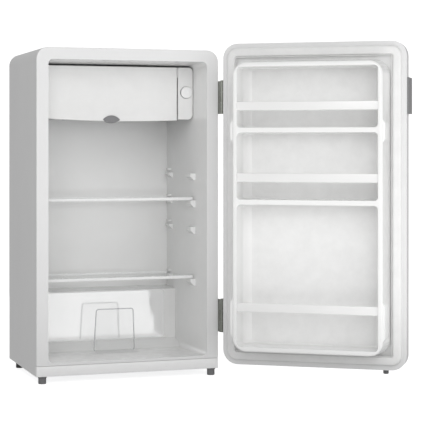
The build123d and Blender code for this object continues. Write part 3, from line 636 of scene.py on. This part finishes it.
class FRIDGE_OT_bottle_stand(bpy.types.Operator):
    """Model the clear bottle stand: its beaded edge, its thin sheet and its foot"""

    bl_idname = "fridge.bottle_stand"
    bl_label = "Bottle stand"

    def execute(self, context):
        low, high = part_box("bottle_stand")
        bead = stand_outline("stand_bead", high.y - 5.5 * MM)
        alone(bead)
        bpy.ops.object.mode_set(mode="EDIT")
        bpy.ops.mesh.select_all(action="SELECT")
        bpy.ops.mesh.inset(thickness=BEAD_WIDTH * MM)
        bpy.ops.mesh.delete(type="FACE")
        bpy.ops.mesh.select_mode(type="FACE")
        bpy.ops.object.mode_set(mode="OBJECT")
        # the bead is open along the floor, and its legs' inner corners come down to it
        for face in bead.data.polygons:
            face.select = face.center.z < low.z + 3 * MM
        bpy.ops.object.mode_set(mode="EDIT")
        bpy.ops.mesh.delete(type="FACE")
        bpy.ops.object.mode_set(mode="OBJECT")
        inner_corner = sorted(v.co.z for v in bead.data.vertices)[2]
        for vertex in bead.data.vertices:
            if low.z + 1 * MM < vertex.co.z <= inner_corner + 0.1 * MM:
                vertex.co.z = low.z + 1.2 * MM
        finish_sheet(bead, 3.6 * MM, 0.8 * MM)
        pane = stand_outline("stand_pane", high.y - 3 * MM)
        finish_sheet(pane, 2.4 * MM, 0.4 * MM)
        foot = new_piece(bpy.ops.mesh.primitive_cube_add, "stand_foot", size=1)
        foot.scale = (high.x - low.x, high.y - low.y - 3 * MM, 1.6 * MM)
        foot.location = ((low.x + high.x) / 2, (low.y + high.y) / 2 - 1.5 * MM, low.z + 0.8 * MM)
        place_in_mesh(foot)
        bevel_by_angle(foot, 0.5 * MM)
        adopt(bead, "bottle_stand", "clear_plastic", "bottle_stand")
        # the bead's grey colour is painted shade on clear plastic
        bead.data.materials[0] = bead_painted_shade_finish().material
        adopt(pane, "bottle_stand", "clear_plastic")
        adopt(foot, "bottle_stand", "clear_plastic")
        return {"FINISHED"}


class FRIDGE_OT_screw_heads(bpy.types.Operator):
    """Put cross-recessed heads on the hinge screws"""

    bl_idname = "fridge.screw_heads"
    bl_label = "Hinge screw heads"

    def execute(self, context):
        pattern = cross_head()
        heights = [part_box("cabinet_hinge_leaves")[0].z + z * MM for z in SCREW_HEIGHTS]
        outside = CABINET_HIGH.x + LEAF_T * MM
        for number, z in enumerate(heights, 1):
            for body, x, y in (
                ("cabinet", outside, CABINET_LOW.y + CABINET_SCREW_Y * MM),
                ("door", outside - DOOR_SET_IN * MM, CABINET_LOW.y + DOOR_SCREW_Y * MM),
            ):
                head = bpy.data.objects.new(f"{body}_hinge_screw_head_{number}", pattern.data.copy())
                context.scene.collection.objects.link(head)
                turn = Matrix.Rotation(number * 0.7, 4, "X")
                head.data.transform(Matrix.Translation((x, y, z)) @ turn)
                if body == "door":
                    open_with_door(head)
                adopt(head, body, "screw_steel")
        bpy.data.objects.remove(pattern)
        return {"FINISHED"}


class FRIDGE_OT_gasket(bpy.types.Operator):
    """Model the door gasket with its bulb, valley and inner lip"""

    bl_idname = "fridge.gasket"
    bl_label = "Door gasket"

    def execute(self, context):
        door_low, door_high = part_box("door_shell")
        high = sizes().gasket_height
        right = CABINET_HIGH.x - DOOR_SET_IN * MM
        width = DOOR_WIDTH * MM - 2 * GASKET_MARGIN * MM
        height = door_high.z - door_low.z - 2 * GASKET_MARGIN * MM
        middle = Vector((
            right - DOOR_WIDTH / 2 * MM, CABINET_LOW.y - 12 * MM, (door_low.z + door_high.z) / 2))
        obj = new_piece(bpy.ops.mesh.primitive_plane_add, "door_seal", size=1)
        obj.scale = (width, height, 1)
        place_in_mesh(obj)
        bpy.ops.object.mode_set(mode="EDIT")
        bpy.ops.mesh.select_all(action="SELECT")
        bpy.ops.mesh.bevel(offset=GASKET_CORNER * MM, segments=9, affect="VERTICES")
        bpy.ops.mesh.select_all(action="SELECT")
        bpy.ops.mesh.extrude_region_move(TRANSFORM_OT_translate={"value": (0, 0, high * 0.35)})
        for across, rise in GASKET_PROFILE:
            bpy.ops.mesh.inset(thickness=across * MM, depth=rise * high)
        bpy.ops.mesh.delete(type="FACE")
        bpy.ops.object.mode_set(mode="OBJECT")
        close_underside(obj)
        obj.rotation_euler = (math.radians(-90), 0, 0)
        obj.location = middle
        place_in_mesh(obj)
        bpy.ops.object.shade_smooth_by_angle(angle=math.radians(60))
        open_with_door(obj)
        adopt(obj, "door", "gasket_white", "door_gasket")
        return {"FINISHED"}


class FRIDGE_OT_stage(bpy.types.Operator):
    """Add the pale floor, the white surround, the card, the softboxes and the camera"""

    bl_idname = "fridge.stage"
    bl_label = "Studio"

    def execute(self, context):
        scene = context.scene
        s = sizes()
        scene.view_settings.view_transform = "Standard"
        world = bpy.data.worlds.new("studio")
        world.use_nodes = True
        world.node_tree.nodes["Background"].inputs["Color"].default_value = (1, 1, 1, 1)
        world.node_tree.nodes["Background"].inputs["Strength"].default_value = s.ambient
        scene.world = world
        floor = new_piece(bpy.ops.mesh.primitive_plane_add, "studio_floor", size=60)
        pale = Finish("pale_floor", (0.86, 0.86, 0.86), 0.6)
        pale.set("Emission Color", (1, 1, 1, 1)).set("Emission Strength", 0.74)
        pale.vary_roughness(0.4, 0.55, 0.65)
        floor.data.materials.append(pale.material)
        dome = new_piece(
            bpy.ops.mesh.primitive_uv_sphere_add, "studio_surround", radius=28, segments=48, ring_count=24)
        white = Finish("white_surround", (0, 0, 0), 1.0)
        white.set("Emission Color", (1, 1, 1, 1)).set("Emission Strength", 1.15).set("Specular IOR Level", 0)
        dome.data.materials.append(white.material)
        dome.visible_diffuse = dome.visible_glossy = dome.visible_shadow = False
        floor.visible_diffuse = floor.visible_glossy = False
        reflector = front_reflector(white.material)
        for name, place, size, share in SOFTBOXES:
            bpy.ops.object.light_add(type="AREA", location=place)
            lamp = context.object
            lamp.name = name
            lamp.data.size = size
            lamp.data.energy = s.key_power * share
            lamp.rotation_euler = (SOFTBOX_AIM - Vector(place)).to_track_quat("-Z", "Y").to_euler()
        bpy.ops.object.light_add(
            type="AREA", location=(0.1, -1.5, 0.02), rotation=(math.radians(180), 0, 0))
        bounce = context.object
        bounce.name = "floor_bounce"
        bounce.data.size = 2.0
        bounce.data.energy = s.key_power * BOUNCE_SHARE
        bounce.visible_camera = bounce.visible_glossy = False
        bpy.ops.object.camera_add(
            location=CABINET_LOW + CAMERA_FROM_CABINET,
            rotation=(math.radians(90), 0, math.radians(CAMERA_TURN)))
        camera = context.object
        camera.data.sensor_width = 36
        camera.data.lens = CAMERA_LENS
        camera.data.shift_y = CAMERA_SHIFT
        scene.camera = camera
        return {"FINISHED"}


class FRIDGE_PT_panel(bpy.types.Panel):
    """Sidebar list of the fridge's steps and settings"""

    bl_label = "Mini Fridge"
    bl_idname = "FRIDGE_PT_panel"
    bl_space_type = "VIEW_3D"
    bl_region_type = "UI"
    bl_category = "Mini Fridge"

    def draw(self, context):
        for operator in OPERATORS:
            self.layout.operator(operator.bl_idname)
        for group in (context.scene.fridge_colours, context.scene.fridge_sizes):
            for key in group.__annotations__:
                self.layout.prop(group, key)


OPERATORS = (
    FRIDGE_OT_finishes,
    FRIDGE_OT_soft_mouldings,
    FRIDGE_OT_gasket,
    FRIDGE_OT_bottle_stand,
    FRIDGE_OT_screw_heads,
    FRIDGE_OT_stage,
)
CLASSES = (FridgeColours, FridgeSizes, *OPERATORS, FRIDGE_PT_panel)


def register():
    for cls in CLASSES:
        bpy.utils.register_class(cls)
    bpy.types.Scene.fridge_colours = PointerProperty(type=FridgeColours)
    bpy.types.Scene.fridge_sizes = PointerProperty(type=FridgeSizes)


def unregister():
    del bpy.types.Scene.fridge_sizes
    del bpy.types.Scene.fridge_colours
    for cls in reversed(CLASSES):
        bpy.utils.unregister_class(cls)


def main():
    register()
    for operator in OPERATORS:
        group, name = operator.bl_idname.split(".")
        getattr(getattr(bpy.ops, group), name)()


if __name__ == "__main__":
    main()
